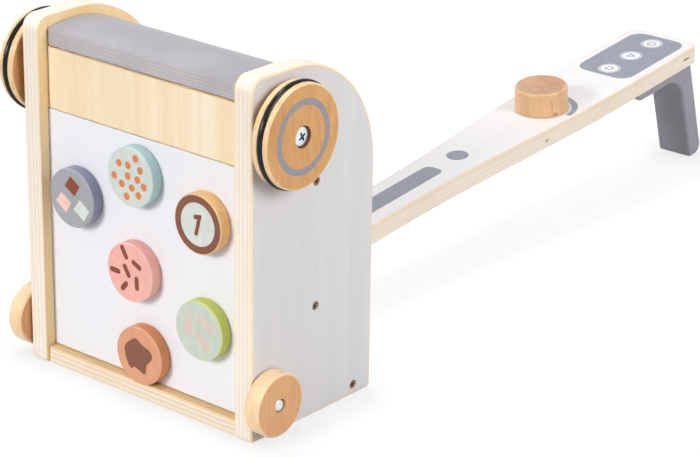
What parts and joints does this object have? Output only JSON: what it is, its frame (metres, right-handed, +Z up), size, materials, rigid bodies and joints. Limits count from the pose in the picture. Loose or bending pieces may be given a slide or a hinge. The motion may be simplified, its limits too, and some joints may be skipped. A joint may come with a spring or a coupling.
{
  "type": "wooden toy vacuum cleaner",
  "caption": "Wooden toy vacuum cleaner: box head with a magnetic face and wheels, hinged handle with a dial knob and grip, and removable printed discs.",
  "frame": {"origin": "middle of the box's underside, on the floor", "axes": "+Z up, -Y out of the magnetic face, +Y along the handle, +X to the right of the face as seen from its front"},
  "size_m": [0.2418, 0.6798, 0.2503],
  "materials": {
    "bare_plywood": "bare birch plywood, clear satin",
    "beech": "turned beech, clear satin",
    "panel_paint": "pale grey paint on plywood with bare edges",
    "white_paint": "white satin paint on plywood",
    "cover_paint": "violet grey satin paint",
    "grip_paint": "dark violet grey satin paint",
    "tyre_rubber": "black rubber",
    "steel": "bright zinc",
    "bronzed_steel": "yellow passivated",
    "magnet": "bare magnet",
    "tiles_paint": "blue grey satin paint, printed",
    "dots_paint": "pale teal satin paint, printed",
    "coin_paint": "bare wood, printed",
    "sprinkles_paint": "pink satin paint, printed",
    "clips_paint": "pale green satin paint, printed",
    "splat_paint": "caramel satin paint, printed"
  },
  "bodies": {
    "box": {"left_side_panel": "panel_paint", "right_side_panel": "panel_paint", "bottom_board": "bare_plywood", "magnetic_face": "white_paint", "backing_plate": "steel", "front_rail": "bare_plywood", "curved_cover": "cover_paint", "partition": "bare_plywood", "left_pivot_cheek": "bare_plywood", "right_pivot_cheek": "bare_plywood", "pivot_dowel": "beech", "left_upper_partition_screw": "bronzed_steel", "left_lower_partition_screw": "bronzed_steel", "left_rear_bottom_screw": "bronzed_steel", "left_front_bottom_screw": "bronzed_steel", "left_rail_screw": "bronzed_steel", "left_upper_cheek_screw": "bronzed_steel", "left_lower_cheek_screw": "bronzed_steel", "left_large_wheel_screw": "steel", "left_large_wheel_spacer": "steel", "left_small_wheel_pin": "steel", "left_small_wheel_washer": "steel", "right_upper_partition_screw": "bronzed_steel", "right_lower_partition_screw": "bronzed_steel", "right_rear_bottom_screw": "bronzed_steel", "right_front_bottom_screw": "bronzed_steel", "right_rail_screw": "bronzed_steel", "right_upper_cheek_screw": "bronzed_steel", "right_lower_cheek_screw": "bronzed_steel", "right_large_wheel_screw": "steel", "right_large_wheel_spacer": "steel", "right_small_wheel_pin": "steel", "right_small_wheel_washer": "steel"},
    "handle": {"handle_board": "white_paint", "handle_grip": "grip_paint", "knob_screw": "steel", "front_grip_screw": "bronzed_steel", "rear_grip_screw": "bronzed_steel"},
    "knob": {"dial_knob": "beech"},
    "left_large_wheel": {"left_large_wheel": "beech", "left_tyre": "tyre_rubber"},
    "left_small_wheel": {"left_small_wheel": "beech"},
    "right_large_wheel": {"right_large_wheel": "beech", "right_tyre": "tyre_rubber"},
    "right_small_wheel": {"right_small_wheel": "beech"},
    "disc_tiles": {"disc_tiles": "tiles_paint", "magnet_tiles": "magnet"},
    "disc_dots": {"disc_dots": "dots_paint", "magnet_dots": "magnet"},
    "disc_coin": {"disc_coin": "coin_paint", "magnet_coin": "magnet"},
    "disc_sprinkles": {"disc_sprinkles": "sprinkles_paint", "magnet_sprinkles": "magnet"},
    "disc_clips": {"disc_clips": "clips_paint", "magnet_clips": "magnet"},
    "disc_splat": {"disc_splat": "splat_paint", "magnet_splat": "magnet"}
  },
  "joints": [
    {"name": "handle_hinge", "type": "hinge", "parent": "box", "child": "handle", "pos_m": [0, 0.0397, 0.0459], "axis": [1, 0, 0], "range_deg": [-50, 70]},
    {"name": "knob_turn", "type": "hinge", "parent": "handle", "child": "knob", "pos_m": [0, 0.39524, 0.09257], "axis": [0, -0.1085, 0.9941], "continuous": true},
    {"name": "left_large_wheel_spin", "type": "hinge", "parent": "box", "child": "left_large_wheel", "pos_m": [-0.1077, -0.0313, 0.21], "axis": [1, 0, 0], "continuous": true},
    {"name": "left_small_wheel_spin", "type": "hinge", "parent": "box", "child": "left_small_wheel", "pos_m": [-0.1047, -0.0475, 0.0278], "axis": [1, 0, 0], "continuous": true},
    {"name": "right_large_wheel_spin", "type": "hinge", "parent": "box", "child": "right_large_wheel", "pos_m": [0.1077, -0.0313, 0.21], "axis": [1, 0, 0], "continuous": true},
    {"name": "right_small_wheel_spin", "type": "hinge", "parent": "box", "child": "right_small_wheel", "pos_m": [0.1047, -0.0475, 0.0278], "axis": [1, 0, 0], "continuous": true},
    {"name": "tiles_disc_lift", "type": "slide", "parent": "box", "child": "disc_tiles", "axis": [0, -1, 0], "range_m": [0, 0.06]},
    {"name": "dots_disc_lift", "type": "slide", "parent": "box", "child": "disc_dots", "axis": [0, -1, 0], "range_m": [0, 0.06]},
    {"name": "coin_disc_lift", "type": "slide", "parent": "box", "child": "disc_coin", "axis": [0, -1, 0], "range_m": [0, 0.06]},
    {"name": "sprinkles_disc_lift", "type": "slide", "parent": "box", "child": "disc_sprinkles", "axis": [0, -1, 0], "range_m": [0, 0.06]},
    {"name": "clips_disc_lift", "type": "slide", "parent": "box", "child": "disc_clips", "axis": [0, -1, 0], "range_m": [0, 0.06]},
    {"name": "splat_disc_lift", "type": "slide", "parent": "box", "child": "disc_splat", "axis": [0, -1, 0], "range_m": [0, 0.06]}
  ]
}
